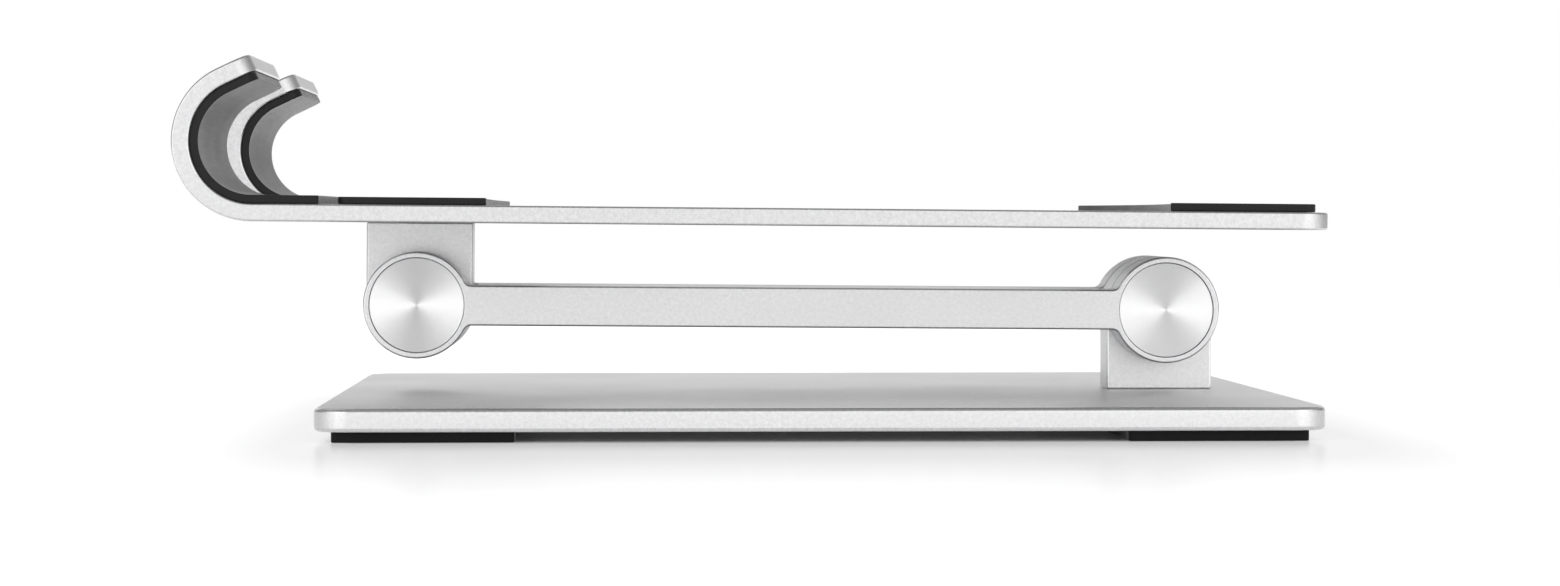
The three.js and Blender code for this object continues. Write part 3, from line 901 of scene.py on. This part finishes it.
# The floor glows with painted light: hardly under the base, more beside it, most far from it, which paints a soft
# shadow round the base.
UNDER_GLOW = 0.01
NEAR_GLOW = 0.28
FAR_GLOW = 0.3
GLOW_INSET = 9 * MM  # how far inside the base's outline the light starts
NEAR_REACH = 10 * MM
END_STRETCH = 3.5  # how much sooner the light comes up past the base's ends
FAR_START = 60 * MM
FAR_REACH = 220 * MM
STUDIO_BAND = (  # azimuth in degrees from the camera's side, positive to the right, and brightness
    (-180, 1.0),
    (-158, 0.75),
    (-130, 0.3),
    (-95, 0.42),
    (-62, 1.1),
    (-38, 1.75),
    (-12, 1.65),
    (-2, 0.62),
    (11, 1.5),
    (38, 1.8),
    (62, 1.2),
    (95, 0.42),
    (130, 0.3),
    (158, 0.75),
    (180, 1.0),
)
BAND_TOP = (18, 50)  # elevations in degrees between which the band gives way to the ceiling
CEILING = 0.34
CAMERA_PLACE = (-0.0291, -0.9632, 0.0502)
CAMERA_DOWN = 1.107 * DEGREE
CAMERA_RIGHT = 2.28 * DEGREE
CAMERA_LENS = 89.4
CAMERA_SENSOR = 36


def footprint_distance(shader):
    """How far a point of the floor lies outside the base, in metres."""
    centre = ((base_low.x + base_high.x) / 2, (base_low.y + base_high.y) / 2, 0)
    half_size = (base_high - base_low) / 2 - Vector((GLOW_INSET, GLOW_INSET, 0))
    apart = shader.add("ShaderNodeVectorMath", operation="ABSOLUTE")
    shader.link(shader.vector("SUBTRACT", shader.place, centre), apart.inputs[0])
    outside = shader.vector("SUBTRACT", apart.outputs["Vector"], half_size)
    outside = shader.vector("MAXIMUM", outside, (0, 0, 0))
    return shader.length(shader.vector("MULTIPLY", outside, (END_STRETCH, 1, 0)))


def floor_material():
    """Pale and glossy, glowing with painted light that leaves a painted shadow round the base, and clear far from
    it.
    """
    shader = Shader("floor")
    cloud = shader.noise(FLOOR_CLOUD_SCALE)
    tint = shader.mix_colour(shader.remap(cloud, 0, 1), FLOOR_DARK, FLOOR_LIGHT)
    beyond = footprint_distance(shader)
    near_glow = shader.remap(beyond, UNDER_GLOW, NEAR_GLOW, 0, NEAR_REACH)
    glow = shader.math("ADD", near_glow, shader.remap(beyond, 0, FAR_GLOW, FAR_START, FAR_REACH))
    shader.set(Base_Color=tint, Roughness=FLOOR_ROUGHNESS, Specular_IOR_Level=FLOOR_SPECULAR)
    # The emission is painted light, dim near the base as a painted shadow.
    shader.set(Emission_Color=(1.0, 1.0, 1.0), Emission_Strength=glow)
    clear = shader.add("ShaderNodeBsdfTransparent")
    blend = shader.add("ShaderNodeMixShader")
    shader.link(shader.remap(shader.length(shader.place), 0, 1, *FLOOR_FADE), blend.inputs[0])
    shader.link(shader.bsdf.outputs[0], blend.inputs[1])
    shader.link(clear.outputs[0], blend.inputs[2])
    shader.link(blend.outputs[0], shader.tree.nodes["Material Output"].inputs["Surface"])
    return shader.material


def make_floor():
    outline = circle(0, 0, FLOOR_RADIUS, SIDES["floor"])
    mesh = bpy.data.meshes.new("floor")
    mesh.from_pydata([(x, y, 0) for x, y in outline], [], [list(range(len(outline)))])
    mesh.materials.append(floor_material())
    floor = bpy.data.objects.new("floor", mesh)
    bpy.context.scene.collection.objects.link(floor)


def make_world():
    """A white studio: a bright band round the horizon, as STUDIO_BAND says, and a grey ceiling."""
    world = bpy.data.worlds.new("studio")
    bpy.context.scene.world = world
    world.use_nodes = True
    nodes, links = world.node_tree.nodes, world.node_tree.links
    nodes.clear()

    def add(kind, *sources, **settings):
        node = nodes.new(kind)
        for key, value in settings.items():
            setattr(node, key, value)
        for socket, source in zip(node.inputs, sources):
            if isinstance(source, (int, float)):
                socket.default_value = source
            else:
                links.new(source, socket)
        return node

    split = add("ShaderNodeSeparateXYZ", add("ShaderNodeTexCoord").outputs["Generated"])
    x, y, z = split.outputs
    front = add("ShaderNodeMath", y, -1.0, operation="MULTIPLY").outputs[0]
    azimuth = add("ShaderNodeMath", x, front, operation="ARCTAN2").outputs[0]
    turn = add("ShaderNodeMapRange", azimuth, -math.pi, math.pi, 0.0, 1.0).outputs[0]
    ramp = add("ShaderNodeValToRGB", turn)
    brightest = max(strength for _, strength in STUDIO_BAND)
    fill_ramp(ramp.color_ramp, brightest)
    band = add("ShaderNodeMath", ramp.outputs["Color"], brightest, operation="MULTIPLY").outputs[0]
    elevation = add("ShaderNodeMath", z, operation="ARCSINE").outputs[0]
    low, high = (angle * DEGREE for angle in BAND_TOP)
    rise = add("ShaderNodeMapRange", elevation, low, high, 0.0, 1.0, interpolation_type="SMOOTHSTEP")
    strength = add("ShaderNodeMix", rise.outputs[0], data_type="FLOAT")
    links.new(band, strength.inputs["A"])
    strength.inputs["B"].default_value = CEILING
    light = add("ShaderNodeBackground")
    links.new(strength.outputs[0], light.inputs["Strength"])
    light.inputs["Color"].default_value = (1, 1, 1, 1)
    seen = add("ShaderNodeBackground")
    seen.inputs["Color"].default_value = (1, 1, 1, 1)
    path = add("ShaderNodeLightPath")
    mix = add("ShaderNodeMixShader", path.outputs["Is Camera Ray"], light.outputs[0], seen.outputs[0])
    add("ShaderNodeOutputWorld", mix.outputs[0])


def fill_ramp(ramp, brightest):
    """STUDIO_BAND as a grey ramp once round the horizon, white where the band is brightest."""
    ramp.interpolation = "EASE"
    while len(ramp.elements) < len(STUDIO_BAND):
        ramp.elements.new(0.5)
    for stop, (angle, strength) in zip(ramp.elements, STUDIO_BAND):
        stop.position = (angle + 180) / 360
        stop.color = (*[strength / brightest] * 3, 1)


def make_camera():
    camera = bpy.data.cameras.new("camera")
    camera.sensor_width = CAMERA_SENSOR
    camera.lens = CAMERA_LENS
    viewer = bpy.data.objects.new("camera", camera)
    bpy.context.scene.collection.objects.link(viewer)
    viewer.location = CAMERA_PLACE
    viewer.rotation_euler = (math.pi / 2 - CAMERA_DOWN, 0, -CAMERA_RIGHT)
    bpy.context.scene.camera = viewer


# ---- building -----------------------------------------------------------------------------------

bpy.context.scene.view_settings.view_transform = "Standard"

make_camera()
make_base_plate()
make_post()
make_feet()
make_post_screws()
make_arm()
make_caps()
make_top_plate()
make_bracket()
make_hook_pads()
make_flat_pad("front_rest_pad", "front_pad", **FRONT_PAD)
make_flat_pad("rear_rest_pad", "rear_pad", **REAR_PAD)
dress_cad_nodes()
make_floor()
make_world()
